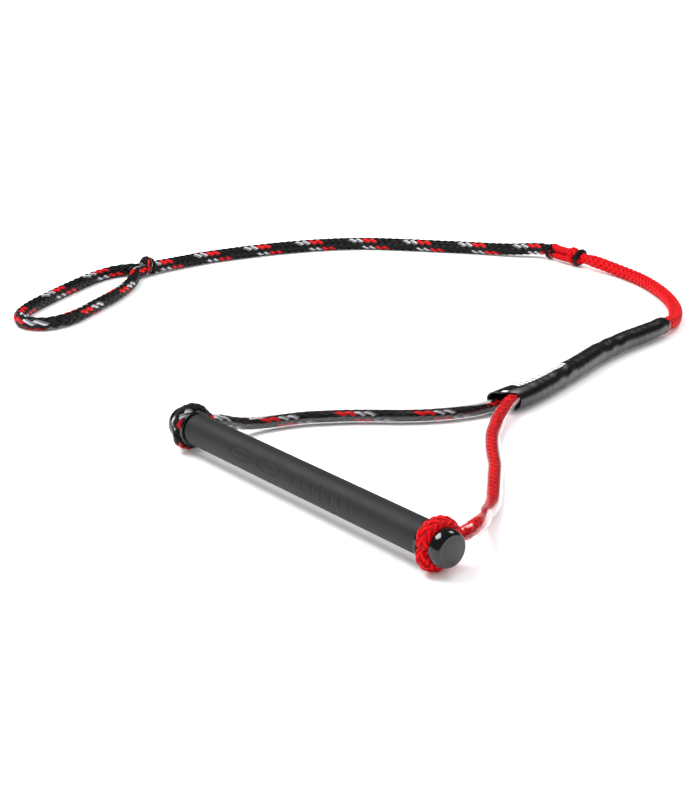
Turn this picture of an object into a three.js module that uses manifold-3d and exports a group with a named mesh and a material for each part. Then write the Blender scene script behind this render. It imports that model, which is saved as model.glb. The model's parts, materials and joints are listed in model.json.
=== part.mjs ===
// A slalom tow rope handle, lying on flat ground. Millimetres, +Z up.
// The origin is on the ground under the middle of the bar, +X runs along the bar and +Y is the
// direction of pull. The bar is a gripped tube with a plug, a rope eye and a cap at each end. Two
// rope legs in clear tubing meet in a sleeve, a red lead goes on to a loop-to-loop link, and a
// patterned lead ends in the tow loop.
import * as THREE from "three";
import { mergeVertices } from "three/addons/utils/BufferGeometryUtils.js";
import Module from "manifold-3d";

const wasm = await Module();
wasm.setup();

// Driving dimensions
const GAP = 0.3; // clearance between pieces that touch
const BAR_HALF = 165; // half of the 13 inch width over the caps
const EYE_OFFSET = 149; // rope eye's middle, from the middle of the bar
const BAR_HEIGHT = 20; // bar axis above the ground, the rope eyes' outer radius

const GRIP_RADIUS = 13;
const TUBE_RADIUS = 10;
const TUBE_WALL = 1.5;
const FLANGE_RADIUS = 15;
const FLANGE_THICKNESS = 3;
const CORE_RADIUS = 8.9; // waist of the plug, under the rope eye
const PLUG_DEPTH = 26; // how far the plug goes into the tube
const CAP_RADIUS = 14;
const CAP_FACE_RADIUS = 8;
const CAP_SHOULDER = 4;
const BOSS_RADIUS = 10.5; // boss that the cap snaps over
const BOSS_LENGTH = 5.5;

const EYE_ROPE_RADIUS = 5.3; // rope where it goes round the plug
const LEG_ROPE_RADIUS = 5;
const LEG_TUBE_RADIUS = 6.5;
const LEG_TUBE_BORE = 5.4;
const SLEEVE_RADIUS = 10.8;
const SLEEVE_BORE = 9.2;
const SPLICE_RADIUS = 8.6;
const LEAD_RADIUS = 7; // the doubled rope of both leads
const LINK_ROPE_RADIUS = 3.5; // rope in the two small eyes of the link
const LOOP_ROPE_RADIUS = 6.6;
const NECK_RADIUS = 10.5;
const NECK_LENGTH = 13;

const ROUND = 32; // sides of a turned piece
const ROPE_SIDES = 12;

// Where the middle of each rope runs: x, y and the height above the ground
const LEFT_LEG = [
  [-149, 21, 20], [-149, 29, 18.2], [-149.5, 38, 14.6], [-150, 48, 11.2], [-150, 60, 8.6],
  [-148, 74, 7.1], [-144, 90, 6.6], [-138, 107, 6.6], [-129.5, 122, 6.6], [-120, 137, 6.6],
  [-110, 150, 6.6], [-99, 163, 6.6], [-88.5, 176, 6.6], [-79, 190, 6.6], [-71, 205, 6.6],
  [-65, 221, 6.6], [-61.5, 237, 6.6], [-61, 254, 6.6], [-62.5, 271, 6.7],
];
const RIGHT_LEG = [
  [149, 21, 20.2], [148.4, 28.5, 20.9], [145, 38, 20.4], [138.5, 48.5, 18.2], [129.5, 60, 14.8],
  [119, 72, 11.4], [109, 86, 8.6], [99, 99, 7], [88, 111, 6.6], [75, 124, 6.6], [58, 141, 6.6],
  [46, 153, 6.6], [33, 164, 6.6], [19, 176, 6.6], [6, 188, 6.6], [-7, 201, 6.8], [-18, 215, 7.6],
  [-27, 227, 9], [-35.5, 240.5, 11], [-44.4, 255.5, 12.5], [-51, 270, 13.6],
];
const SLEEVE = [
  [-56, 274, 11], [-58.5, 294, 11], [-63, 314, 11], [-72.5, 348, 11], [-85.5, 387, 11],
  [-99, 429, 11], [-108, 467, 11], [-113.5, 503, 11], [-117.5, 525, 11], [-121.5, 546, 11],
];
const RED_LEAD = [
  [-121.8, 547.2, 10.9], [-127, 563, 9.4], [-135, 578, 7.8], [-147, 594, 7.2], [-160, 609, 7.1],
  [-174, 622, 7.1], [-189, 634, 7.1], [-206, 645.5, 7.1], [-225, 656.5, 7.1], [-246, 667, 7.1],
  [-267, 675.5, 7.1], [-288, 681, 7.2], [-305, 684, 7.7], [-320, 685, 8.8], [-334, 684.7, 10.2],
  [-350, 685, 11],
];
const TOW_LEAD = [
  [-411.2, 685, 11], [-422, 684, 10.7], [-433, 678.5, 10.1], [-443, 669.5, 9.3],
  [-455, 659, 8.4], [-470, 648, 7.7], [-488, 636, 7.2], [-506, 622, 7.1], [-525, 606, 7.1],
  [-544, 590, 7.1], [-563, 574, 7.1], [-581, 557, 7.1], [-597, 539, 7.1], [-610, 519, 7.1],
  [-621, 497, 7.1], [-630, 474, 7.1], [-638, 450, 7.1], [-644, 425, 7.1], [-649, 399, 7.1],
  [-653, 373, 7.1], [-655, 347, 7.2], [-654, 320, 7.4], [-652, 300, 7.9], [-651, 281, 8.2],
];
const TOW_LOOP = [
  [-658, 264, 7.6], [-664, 252, 7], [-666, 236, 6.7], [-659, 210, 6.7], [-645, 182, 6.7],
  [-629, 153, 6.7], [-613, 126, 6.7], [-599, 103, 6.7], [-585, 84, 6.7], [-571, 70, 6.7],
  [-555, 61.5, 6.7], [-539, 63, 6.7], [-527.5, 74, 6.7], [-526, 90, 6.7], [-532, 110, 6.7],
  [-545, 133, 6.7], [-559, 157, 6.7], [-575, 182, 6.7], [-593, 206, 6.7], [-612, 228, 6.7],
  [-628, 241, 6.8], [-640, 251, 7.1], [-646, 263, 7.6],
];
const LINK = { x: -384, y: 685, z: 11 }; // where the two small eyes hold each other

// Materials
function finish(color, roughness, metalness = 0, opacity = 1) {
  return new THREE.MeshStandardMaterial({
    color, roughness, metalness, opacity, transparent: opacity < 1,
  });
}
const foamGrip = () => finish(0x3a3a3a, 0.85);
const aluminium = () => finish(0xb8bcc0, 0.35, 1);
const floatFoam = () => finish(0xe8e6de, 0.9);
const glossNylon = () => finish(0x0c0c0d, 0.12);
const redBraid = () => finish(0xd6101f, 0.7);
const patternedBraid = () => finish(0x1d1b1d, 0.75);
const clearVinyl = () => finish(0xf4f4f6, 0.08, 0, 0.35);
const satinSleeve = () => finish(0x111112, 0.35);

// Solids
function solid(geometry) {
  const bare = geometry.clone();
  bare.deleteAttribute("normal");
  bare.deleteAttribute("uv");
  const merged = mergeVertices(bare, 1e-4);
  return new wasm.Manifold(new wasm.Mesh({
    numProp: 3,
    vertProperties: merged.attributes.position.array,
    triVerts: new Uint32Array(merged.index.array),
  }));
}

function geometryOf(manifold) {
  const mesh = manifold.getMesh();
  const geometry = new THREE.BufferGeometry();
  geometry.setAttribute("position", new THREE.BufferAttribute(mesh.vertProperties, 3));
  geometry.setIndex(new THREE.BufferAttribute(mesh.triVerts, 1));
  geometry.computeVertexNormals();
  return geometry;
}

// A piece turned about the bar: each profile point is a distance along the bar and a radius.
function turned(profile) {
  const points = profile.map(([along, radius]) => new THREE.Vector2(radius, along));
  return new THREE.LatheGeometry(points, ROUND).rotateZ(-Math.PI / 2);
}

// A straight round rod along +X, between two distances along the bar.
function rod(radius, start, end) {
  return turned([[start, 0], [start, radius], [end, radius], [end, 0]]);
}

function curveOf(points) {
  const route = points.map(([x, y, z]) => new THREE.Vector3(x, y, z));
  return new THREE.CatmullRomCurve3(route, false, "centripetal");
}

// A rope or tube of a many-sided section along a route, solid or with a bore.
function rope(points, radius, bore = 0, length = 2 * 2 * radius) {
  const curve = curveOf(points);
  const steps = Math.ceil(curve.getLength() / length);
  const corner = (r, i) => {
    const angle = (i / ROPE_SIDES) * 2 * Math.PI;
    return new THREE.Vector2(r * Math.cos(angle), r * Math.sin(angle));
  };
  const ring = (r) => Array.from({ length: ROPE_SIDES }, (_, i) => corner(r, i));
  const section = new THREE.Shape(ring(radius));
  if (bore > 0) section.holes.push(new THREE.Path(ring(bore).reverse()));
  return new THREE.ExtrudeGeometry(section, { steps, extrudePath: curve });
}

const part = new THREE.Group();

function add(name, geometry, material, parent = part) {
  const mesh = new THREE.Mesh(geometry, material);
  mesh.name = name;
  parent.add(mesh);
}

// The bar, in its own group at the height of its axis
const bar = new THREE.Group();
bar.position.z = BAR_HEIGHT;
part.add(bar);

const grooveInner = EYE_OFFSET - EYE_ROPE_RADIUS - GAP; // outer face of the flange
const grooveOuter = EYE_OFFSET + EYE_ROPE_RADIUS + 2 * GAP; // inner face of the cap
const flangeInner = grooveInner - FLANGE_THICKNESS;
const gripEnd = flangeInner - GAP;
const tubeBore = TUBE_RADIUS - TUBE_WALL;
const plugRadius = tubeBore - GAP;
const plugStart = flangeInner - PLUG_DEPTH;

add("bar_tube", turned([
  [-gripEnd, tubeBore], [-gripEnd, TUBE_RADIUS], [gripEnd, TUBE_RADIUS], [gripEnd, tubeBore],
  [-gripEnd, tubeBore],
]), aluminium(), bar);

add("float_core", rod(plugRadius, -plugStart + GAP, plugStart - GAP), floatFoam(), bar);

add("grip", turned([
  [-gripEnd, TUBE_RADIUS + GAP], [-gripEnd, GRIP_RADIUS - 1], [-gripEnd + 1, GRIP_RADIUS],
  [gripEnd - 1, GRIP_RADIUS], [gripEnd, GRIP_RADIUS - 1], [gripEnd, TUBE_RADIUS + GAP],
  [-gripEnd, TUBE_RADIUS + GAP],
]), foamGrip(), bar);

// The plug fills the end of the tube. Its flange stops the grip, and a cross hole in its waist lets
// the rope through from the side of the pull.
function plug() {
  const body = solid(turned([
    [plugStart, 0], [plugStart, plugRadius - 1], [plugStart + 1, plugRadius],
    [flangeInner, plugRadius], [flangeInner, FLANGE_RADIUS - 1], [flangeInner + 1, FLANGE_RADIUS],
    [grooveInner - 1, FLANGE_RADIUS], [grooveInner, FLANGE_RADIUS - 1], [grooveInner, CORE_RADIUS],
    [grooveOuter - GAP, CORE_RADIUS], [grooveOuter - GAP, BOSS_RADIUS],
    [grooveOuter + BOSS_LENGTH - 1, BOSS_RADIUS], [grooveOuter + BOSS_LENGTH, BOSS_RADIUS - 1],
    [grooveOuter + BOSS_LENGTH, 0],
  ]));
  const holeRadius = LEG_ROPE_RADIUS + GAP;
  const hole = new THREE.CylinderGeometry(holeRadius, holeRadius, 4 * CORE_RADIUS, ROUND);
  return geometryOf(body.subtract(solid(hole.translate(EYE_OFFSET, 0, 0))));
}

// The cap is a thick button with a round shoulder and a flat face, hollow inside for the boss.
function cap() {
  const shoulder = [];
  for (let i = 0; i <= 6; i++) {
    const angle = (i / 6) * (Math.PI / 2);
    shoulder.push([
      BAR_HALF - 1 - CAP_SHOULDER * (1 - Math.sin(angle)),
      CAP_RADIUS - CAP_SHOULDER * (1 - Math.cos(angle)),
    ]);
  }
  return turned([
    [grooveOuter + BOSS_LENGTH + GAP, 0], [grooveOuter + BOSS_LENGTH + GAP, BOSS_RADIUS + GAP],
    [grooveOuter, BOSS_RADIUS + GAP], [grooveOuter, CAP_RADIUS - 1], [grooveOuter + 1, CAP_RADIUS],
    ...shoulder, [BAR_HALF, CAP_FACE_RADIUS], [BAR_HALF, 0],
  ]);
}

// The rope eye is one ring of rope in the groove, with the straight part that goes through the
// cross hole and comes out under the ring on the side of the pull.
function ropeEye() {
  const centre = BAR_HEIGHT - EYE_ROPE_RADIUS;
  const profile = [];
  for (let i = 0; i <= ROPE_SIDES; i++) {
    const angle = ((i % ROPE_SIDES) / ROPE_SIDES) * 2 * Math.PI;
    profile.push([
      EYE_OFFSET + EYE_ROPE_RADIUS * Math.sin(angle),
      centre + EYE_ROPE_RADIUS * Math.cos(angle),
    ]);
  }
  const through = new THREE.CylinderGeometry(
    LEG_ROPE_RADIUS, LEG_ROPE_RADIUS, centre + BAR_HEIGHT - GAP, ROPE_SIDES,
  );
  through.translate(EYE_OFFSET, (BAR_HEIGHT - GAP - centre) / 2, 0);
  return geometryOf(solid(turned(profile)).add(solid(through)));
}

for (const [side, turn] of [["right", 0], ["left", Math.PI]]) {
  const end = new THREE.Group();
  end.rotation.z = turn;
  bar.add(end);
  add(`end_plug_${side}`, plug(), glossNylon(), end);
  add(`end_cap_${side}`, cap(), glossNylon(), end);
}

const rightEye = ropeEye();
add("rope_eye_right", rightEye, redBraid(), bar);
add("rope_eye_left", rightEye.clone().translate(-2 * EYE_OFFSET, 0, 0), patternedBraid(), bar);

// The two legs, each a rope inside clear tubing
const legSpacing = 2 * 2 * LEG_TUBE_RADIUS;
add("leg_rope_left", rope(LEFT_LEG, LEG_ROPE_RADIUS, 0, legSpacing), patternedBraid());
add("leg_tube_left", rope(LEFT_LEG, LEG_TUBE_RADIUS, LEG_TUBE_BORE, legSpacing), clearVinyl());
add("leg_rope_right", rope(RIGHT_LEG, LEG_ROPE_RADIUS, 0, legSpacing), redBraid());
add("leg_tube_right", rope(RIGHT_LEG, LEG_TUBE_RADIUS, LEG_TUBE_BORE, legSpacing), clearVinyl());

// The junction: the spliced ropes under their sleeve
add("leg_splice", rope(SLEEVE, SPLICE_RADIUS, 0, 30), redBraid());
add("junction_sleeve", rope(SLEEVE, SLEEVE_RADIUS, SLEEVE_BORE, 30), satinSleeve());

// The two leads
add("red_lead", rope(RED_LEAD, LEAD_RADIUS), redBraid());
add("tow_lead", rope(TOW_LEAD, LEAD_RADIUS), patternedBraid());

// The link: each small eye is a U of rope on a short round neck. The red one stands upright and the
// patterned one lies flat round its bend, so the two turn on each other about the vertical.
const LINK_BEND = 2 * LINK_ROPE_RADIUS + GAP; // radius of each eye's bend
const LINK_EYE_LENGTH = 20; // from the bend's middle to the neck
const LINK_NECK = 6;
const LINK_NECK_RADIUS = 8;

function linkEye() {
  const leg = [[LINK_EYE_LENGTH + 1, LINK_BEND - 2], [LINK_EYE_LENGTH / 2, LINK_BEND - 0.3]];
  const bend = [];
  for (let i = 0; i <= 8; i++) {
    const angle = Math.PI / 2 + (i / 8) * Math.PI;
    bend.push([LINK_BEND * Math.cos(angle), LINK_BEND * Math.sin(angle)]);
  }
  const otherLeg = leg.map(([x, y]) => [x, -y]).reverse();
  const route = [...leg, ...bend, ...otherLeg].map(([x, y]) => [x, y, 0]);
  const eye = solid(rope(route, LINK_ROPE_RADIUS, 0, LINK_ROPE_RADIUS));
  const neck = rod(LINK_NECK_RADIUS, LINK_EYE_LENGTH, LINK_EYE_LENGTH + LINK_NECK);
  return geometryOf(eye.add(solid(neck)));
}

const redEye = linkEye().rotateX(Math.PI / 2).translate(LINK.x + LINK_BEND, LINK.y, LINK.z);
add("link_eye_red", redEye, redBraid());
const patternedEye = linkEye().rotateZ(Math.PI).translate(LINK.x, LINK.y, LINK.z);
add("link_eye_patterned", patternedEye, patternedBraid());

// The tow loop and the neck where its rope passes through itself
const [neckX, neckY] = TOW_LEAD.at(-1);
const pull = curveOf(TOW_LEAD).getTangentAt(1);
const neck = rod(NECK_RADIUS, 2 * GAP, NECK_LENGTH).rotateZ(Math.atan2(pull.y, pull.x));
add("loop_neck", neck.translate(neckX, neckY, NECK_RADIUS), patternedBraid());
add("tow_loop", rope(TOW_LOOP, LOOP_ROPE_RADIUS), patternedBraid());

export default part;
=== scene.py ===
import json
import math

import bmesh
import bpy
import numpy as np
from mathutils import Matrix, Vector


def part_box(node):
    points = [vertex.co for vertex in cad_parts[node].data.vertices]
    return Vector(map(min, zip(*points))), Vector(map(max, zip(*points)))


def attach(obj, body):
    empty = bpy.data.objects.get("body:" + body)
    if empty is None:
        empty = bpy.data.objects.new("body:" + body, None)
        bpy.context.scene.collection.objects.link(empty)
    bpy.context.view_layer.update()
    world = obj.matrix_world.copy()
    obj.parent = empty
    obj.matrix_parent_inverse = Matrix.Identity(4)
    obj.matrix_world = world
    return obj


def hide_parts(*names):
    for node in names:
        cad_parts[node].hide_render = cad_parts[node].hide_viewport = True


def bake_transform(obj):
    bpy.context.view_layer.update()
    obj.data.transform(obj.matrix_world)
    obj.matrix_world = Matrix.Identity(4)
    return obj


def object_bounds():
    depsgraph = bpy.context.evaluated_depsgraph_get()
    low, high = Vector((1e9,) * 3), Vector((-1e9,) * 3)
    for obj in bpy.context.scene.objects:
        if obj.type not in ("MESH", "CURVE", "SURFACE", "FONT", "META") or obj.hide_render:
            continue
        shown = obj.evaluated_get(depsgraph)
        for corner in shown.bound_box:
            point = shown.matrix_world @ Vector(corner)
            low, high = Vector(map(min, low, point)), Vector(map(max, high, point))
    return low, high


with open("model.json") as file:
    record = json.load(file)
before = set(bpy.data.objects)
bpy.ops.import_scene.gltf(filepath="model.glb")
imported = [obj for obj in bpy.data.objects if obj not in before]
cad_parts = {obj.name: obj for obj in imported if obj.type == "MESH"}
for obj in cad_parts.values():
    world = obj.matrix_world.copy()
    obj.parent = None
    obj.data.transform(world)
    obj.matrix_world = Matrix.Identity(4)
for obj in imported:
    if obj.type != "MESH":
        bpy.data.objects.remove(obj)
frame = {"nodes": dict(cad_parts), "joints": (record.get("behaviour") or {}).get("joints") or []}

cad_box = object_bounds()

# Bar tube and float core. A thin aluminium tube makes the bar stiff, and a closed-cell foam core
# keeps it afloat. The grip and the plugs hide both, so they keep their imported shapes.


def surface_grain():
    """A shader group: fine mottling that puts out a colour, a roughness and a height."""
    group = bpy.data.node_groups.new("surface_grain", "ShaderNodeTree")
    for socket, kind in (
        ("Scale", "Float"), ("Dark", "Color"), ("Light", "Color"),
        ("Least Roughness", "Float"), ("Most Roughness", "Float"),
    ):
        group.interface.new_socket(socket, in_out="INPUT", socket_type="NodeSocket" + kind)
    for socket, kind in (("Colour", "Color"), ("Roughness", "Float"), ("Height", "Float")):
        group.interface.new_socket(socket, in_out="OUTPUT", socket_type="NodeSocket" + kind)
    nodes, link = group.nodes, group.links.new
    given, result = nodes.new("NodeGroupInput"), nodes.new("NodeGroupOutput")
    place = nodes.new("ShaderNodeTexCoord")
    fine, broad = nodes.new("ShaderNodeTexNoise"), nodes.new("ShaderNodeTexNoise")
    broad.inputs["Scale"].default_value = 45.0
    fine.inputs["Detail"].default_value = 3.0
    colour = nodes.new("ShaderNodeMix")
    colour.data_type = "RGBA"
    roughness = nodes.new("ShaderNodeMapRange")
    link(place.outputs["Object"], fine.inputs["Vector"])
    link(place.outputs["Object"], broad.inputs["Vector"])
    link(given.outputs["Scale"], fine.inputs["Scale"])
    link(fine.outputs["Fac"], colour.inputs["Factor"])
    link(given.outputs["Dark"], colour.inputs["A"])
    link(given.outputs["Light"], colour.inputs["B"])
    link(broad.outputs["Fac"], roughness.inputs["Value"])
    link(given.outputs["Least Roughness"], roughness.inputs["To Min"])
    link(given.outputs["Most Roughness"], roughness.inputs["To Max"])
    link(colour.outputs["Result"], result.inputs["Colour"])
    link(roughness.outputs["Result"], result.inputs["Roughness"])
    link(fine.outputs["Fac"], result.inputs["Height"])
    return group


GRAIN = surface_grain()


def bump(tree, height, shader, distance):
    """Feeds a height to the shader's normal, with the height's full range this deep in metres."""
    node = tree.nodes.new("ShaderNodeBump")
    node.inputs["Distance"].default_value = distance
    tree.links.new(height, node.inputs["Height"])
    tree.links.new(node.outputs["Normal"], shader.inputs["Normal"])


def grained(name, dark, light, scale, roughness, depth, metallic=0.0, specular=0.5):
    """A moulded, foamed or metal finish: two close colours, a range of roughness, a fine bump."""
    material = bpy.data.materials.new(name)
    material.use_nodes = True
    tree = material.node_tree
    shader = tree.nodes["Principled BSDF"]
    shader.inputs["Metallic"].default_value = metallic
    shader.inputs["Specular IOR Level"].default_value = specular
    grain = tree.nodes.new("ShaderNodeGroup")
    grain.node_tree = GRAIN
    grain.inputs["Scale"].default_value = scale
    grain.inputs["Dark"].default_value = (*dark, 1)
    grain.inputs["Light"].default_value = (*light, 1)
    grain.inputs["Least Roughness"].default_value = roughness[0]
    grain.inputs["Most Roughness"].default_value = roughness[1]
    tree.links.new(grain.outputs["Colour"], shader.inputs["Base Color"])
    tree.links.new(grain.outputs["Roughness"], shader.inputs["Roughness"])
    bump(tree, grain.outputs["Height"], shader, depth)
    return material


def dress(node, material):
    """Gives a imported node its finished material."""
    mesh = frame["nodes"][node].data
    mesh.materials.clear()
    mesh.materials.append(material)


dress("bar_tube", grained(
    "drawn_aluminium", (0.55, 0.56, 0.58), (0.74, 0.75, 0.77), 900, (0.28, 0.42), 0.00002, 1.0))
dress("float_core", grained(
    "closed_cell_foam", (0.72, 0.71, 0.66), (0.88, 0.87, 0.83), 1400, (0.8, 0.95), 0.0002))

# Grip. A sleeve of dense charcoal foam rubber over the bar tube, with softly rounded ends and a
# row of plain marks pressed into the side that faces the rider's fingers.
BAR_Z = frame["joints"][0]["pos_m"][2]
ROUND = 96  # sides of a turned piece


def skin(name, rings, material, capped=False, joined=False):
    """A smooth mesh through equal rings of points, capped at its ends or joined end to start."""
    mesh = bmesh.new()
    grid = [[mesh.verts.new(p) for p in ring] for ring in rings]
    count = len(rings[0])
    pairs = list(zip(grid, grid[1:])) + ([(grid[-1], grid[0])] if joined else [])
    for ring, after in pairs:
        for i in range(count):
            j = (i + 1) % count
            mesh.faces.new((ring[i], ring[j], after[j], after[i]))
    if capped:
        mesh.faces.new(grid[0])
        mesh.faces.new(grid[-1])
    bmesh.ops.remove_doubles(mesh, verts=mesh.verts, dist=1e-7)
    bmesh.ops.recalc_face_normals(mesh, faces=mesh.faces)
    for face in mesh.faces:
        face.smooth = True
    data = bpy.data.meshes.new(name)
    mesh.to_mesh(data)
    mesh.free()
    data.set_sharp_from_angle(angle=math.radians(38))
    data.materials.append(material)
    piece = bpy.data.objects.new(name, data)
    bpy.context.scene.collection.objects.link(piece)
    return piece


def bar_ring(along, radius, sides=ROUND):
    """A circle about the bar's axis at one distance along it."""
    turns = [2 * math.pi * i / sides for i in range(sides)]
    return [(along, radius * math.cos(a), BAR_Z + radius * math.sin(a)) for a in turns]


def fillet(along, radius, size, start, end, steps=6):
    """Points of an arc in a profile about a centre, as distances along the bar and radii."""
    turns = [math.radians(start + (end - start) * i / steps) for i in range(steps + 1)]
    return [(along + size * math.cos(a), radius + size * math.sin(a)) for a in turns]


grip_low, grip_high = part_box("grip")
GRIP_END = grip_high.x
GRIP_RADIUS = (grip_high.z - grip_low.z) / 2
GRIP_BORE = GRIP_RADIUS - 0.0027
GRIP_ROUNDING = 0.0016
GRIP_STEPS = 330  # rings along the grip, close enough for the pressed marks
GRIP_SIDES = 128
MARK_DEPTH = 0.00035
MARK_TURN = math.radians(160)  # towards the rider, a little above the bar's middle
OVALS = [(-0.062, 0.016, 0.0045), (-0.026, 0.016, 0.0045)]  # place, half length, half width
BARS = [0.004 + 0.011 * i for i in range(7)]


def pressed(along, across):
    """How far the grip's surface is pressed in at a place: two oval outlines and slanted bars."""
    depth = 0.0
    for middle, half_length, half_width in OVALS:
        reach = math.hypot((along - middle) / half_length, across / half_width)
        depth = max(depth, 1 - abs(reach - 0.85) / 0.17)
    for middle in BARS:
        slant = along - middle - 0.35 * across
        depth = max(depth, min(1 - abs(slant) / 0.0017, (0.0042 - abs(across)) / 0.0012))
    return MARK_DEPTH * min(1.0, max(0.0, 1.6 * depth))


def grip_rings():
    """The grip's outside, with its marks, then back through its bore."""
    edge = GRIP_RADIUS - GRIP_ROUNDING
    right = fillet(GRIP_END - GRIP_ROUNDING, edge, GRIP_ROUNDING, 90, 0)
    left = [(-along, radius) for along, radius in reversed(right)]
    reach = GRIP_END - GRIP_ROUNDING
    middle = [(reach * (2 * i / GRIP_STEPS - 1), GRIP_RADIUS) for i in range(1, GRIP_STEPS)]
    rings = []
    for along, radius in left + middle + right:
        ring = []
        for i in range(GRIP_SIDES):
            turn = 2 * math.pi * i / GRIP_SIDES
            depth = pressed(along, GRIP_RADIUS * (turn - MARK_TURN))
            ring.append((
                along, (radius - depth) * math.cos(turn),
                BAR_Z + (radius - depth) * math.sin(turn)))
        rings.append(ring)
    return rings + [bar_ring(end, GRIP_BORE, GRIP_SIDES) for end in (GRIP_END, -GRIP_END)]


grip_foam = grained(
    "charcoal_foam_rubber", (0.009, 0.009, 0.0095), (0.018, 0.0178, 0.0182), 2600, (0.5, 0.66),
    0.00014, specular=0.3)
grip = skin("grip_sleeve", grip_rings(), grip_foam, joined=True)
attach(grip, "handle")
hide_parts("grip")

# End plugs. Each is one glossy black nylon moulding pressed into the tube: a flange that stops the
# grip, a waist with a cross hole for the rope, and a boss that the end cap snaps over.
black_nylon = grained(
    "black_nylon_gloss", (0.004, 0.004, 0.0045), (0.009, 0.009, 0.01), 700, (0.07, 0.15), 0.000008)
plug_low, plug_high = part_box("end_plug_right")
eye_low, eye_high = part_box("rope_eye_right")
cap_low, cap_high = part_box("end_cap_right")
EYE_X = (eye_low.x + eye_high.x) / 2
FLANGE_RADIUS = (plug_high.z - plug_low.z) / 2
FLANGE_INNER = GRIP_END + 0.0003
FLANGE_OUTER = FLANGE_INNER + 0.003
STEM_RADIUS = 0.0082
WAIST_RADIUS = 0.0089
BOSS_RADIUS = 0.0105
HOLE_RADIUS = 0.0053


def plug_profile():
    """The plug from its inner end to the face of its boss."""
    return [
        (plug_low.x, 0.0), (plug_low.x, STEM_RADIUS - 0.001), (plug_low.x + 0.001, STEM_RADIUS),
        (FLANGE_INNER, STEM_RADIUS), (FLANGE_INNER, FLANGE_RADIUS - 0.0011),
        *fillet(FLANGE_INNER + 0.0011, FLANGE_RADIUS - 0.0011, 0.0011, 180, 90),
        *fillet(FLANGE_OUTER - 0.0011, FLANGE_RADIUS - 0.0011, 0.0011, 90, 0),
        (FLANGE_OUTER, WAIST_RADIUS + 0.0008),
        *fillet(FLANGE_OUTER + 0.0008, WAIST_RADIUS + 0.0008, 0.0008, 180, 270),
        (cap_low.x - 0.0003, WAIST_RADIUS), (cap_low.x - 0.0003, BOSS_RADIUS),
        (plug_high.x - 0.001, BOSS_RADIUS), (plug_high.x, BOSS_RADIUS - 0.001),
        (plug_high.x, 0.0),
    ]


def drilled(piece, hole):
    """Cuts a hole's solid out of a piece, and leaves a plain mesh."""
    cut = piece.modifiers.new("cross_hole", "BOOLEAN")
    cut.operation, cut.object, cut.solver = "DIFFERENCE", hole, "EXACT"
    scene_now = bpy.context.evaluated_depsgraph_get()
    old = piece.data
    piece.data = bpy.data.meshes.new_from_object(piece.evaluated_get(scene_now))
    piece.modifiers.clear()
    piece.data.name = piece.name
    bpy.data.meshes.remove(old)
    bpy.data.objects.remove(hole)


for side, sign in (("right", 1), ("left", -1)):
    rings = [bar_ring(sign * along, radius) for along, radius in plug_profile()]
    plug = skin(f"plug_{side}", rings, black_nylon)
    bore = [
        [(sign * EYE_X + HOLE_RADIUS * math.cos(2 * math.pi * i / 48), y,
          BAR_Z + HOLE_RADIUS * math.sin(2 * math.pi * i / 48)) for i in range(48)]
        for y in (-2 * WAIST_RADIUS, 2 * WAIST_RADIUS)
    ]
    drilled(plug, skin("cross_hole", bore, black_nylon, capped=True))
    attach(plug, "handle")
    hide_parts(f"end_plug_{side}")

# End caps. Thick glossy buttons that snap over the plugs' bosses and hold the rope eyes in. The
# wide face is domed a little and has a fine raised rim where it meets the rolled shoulder.
CAP_RADIUS = (cap_high.z - cap_low.z) / 2
CAP_FACE_RADIUS = 0.0112
CAP_SKIRT = 0.0022  # the cap's straight side
CAP_DOME = 0.0007


def cap_profile():
    """The cap from its socket, over the shoulder and the rim, to the middle of its face."""
    face = cap_high.x - CAP_DOME
    shoulder = [
        (cap_low.x + CAP_SKIRT + (face - cap_low.x - CAP_SKIRT) * math.sin(math.radians(a)),
         CAP_FACE_RADIUS + (CAP_RADIUS - CAP_FACE_RADIUS) * math.cos(math.radians(a)))
        for a in range(0, 91, 9)
    ]
    dome = [
        (face + CAP_DOME * (1 - (i / 10) ** 2), (CAP_FACE_RADIUS - 0.0006) * i / 10)
        for i in range(10, -1, -1)
    ]
    return [
        (plug_high.x + 0.0003, 0.0), (plug_high.x + 0.0003, BOSS_RADIUS + 0.0003),
        (cap_low.x, BOSS_RADIUS + 0.0003), (cap_low.x, CAP_RADIUS - 0.0008),
        *fillet(cap_low.x + 0.0008, CAP_RADIUS - 0.0008, 0.0008, 180, 90),
        *shoulder, (face + 0.0001, CAP_FACE_RADIUS - 0.0002), *dome,
    ]


for side, sign in (("right", 1), ("left", -1)):
    rings = [bar_ring(sign * along, radius) for along, radius in cap_profile()]
    cap = skin(f"cap_{side}", rings, black_nylon)
    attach(cap, "handle")
    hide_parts(f"end_cap_{side}")

# Braided ropes, first the two legs. Every rope here is one hollow braid of sixteen flat strands,
# eight turning each way, two over and two under. The right leg is plain red. The left leg is black
# with a pair of pale tracers and a pair of red ones that turn about the rope.
PITCH = 0.067  # length of rope in which a strand turns once about it
STRANDS = 8  # strands that turn each way
STEP = 0.0021  # spacing of the points along a rope
UP = (0, 0, 1)


def wired(tree, kind, inputs=(), **settings):
    """A node with its settings made, and each named or numbered input linked or set."""
    node = tree.nodes.new(kind)
    for setting, value in settings.items():
        setattr(node, setting, value)
    for socket, value in dict(inputs).items():
        if isinstance(value, bpy.types.NodeSocket):
            tree.links.new(value, node.inputs[socket])
        else:
            node.inputs[socket].default_value = value
    return node


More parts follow.
